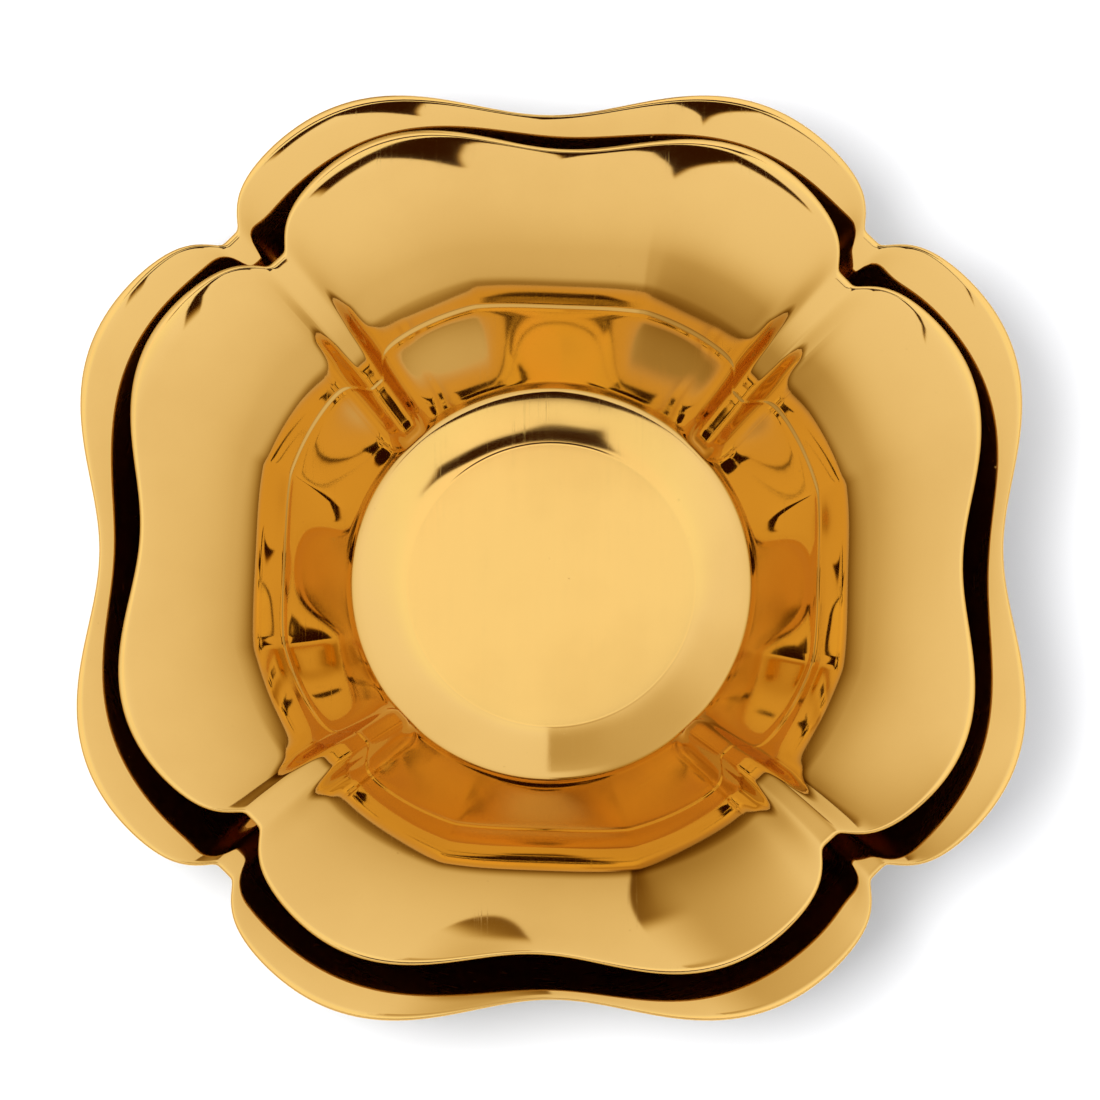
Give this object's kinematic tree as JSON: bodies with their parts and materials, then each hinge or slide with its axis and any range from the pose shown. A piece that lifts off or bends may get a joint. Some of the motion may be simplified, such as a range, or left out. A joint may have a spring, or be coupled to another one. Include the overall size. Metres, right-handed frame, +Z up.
{
  "type": "nested brass urli bowl",
  "caption": "Shallow flower-shaped brass bowl on a foot ring, with a smaller bowl of the same petalled shape standing loose inside it.",
  "frame": {"origin": "centre of the outer bowl's foot ring, at the level of the table", "axes": "+Z up out of the bowls; +X and +Y along the middles of two of the outer bowl's petals"},
  "size_m": [0.3002, 0.3002, 0.0789],
  "materials": {
    "bowl_sheet": "mirror polished, lacquered",
    "foot_strip": "fine satin"
  },
  "bodies": {
    "outer": {"outer_bowl": "bowl_sheet", "outer_foot_ring": "foot_strip"},
    "inner": {"inner_bowl": "bowl_sheet", "inner_foot_ring": "foot_strip"}
  },
  "joints": [
    {"name": "inner_bowl_lift", "type": "slide", "parent": "outer", "child": "inner", "axis": [0, 0, 1], "range_m": [0, 0.09]}
  ]
}
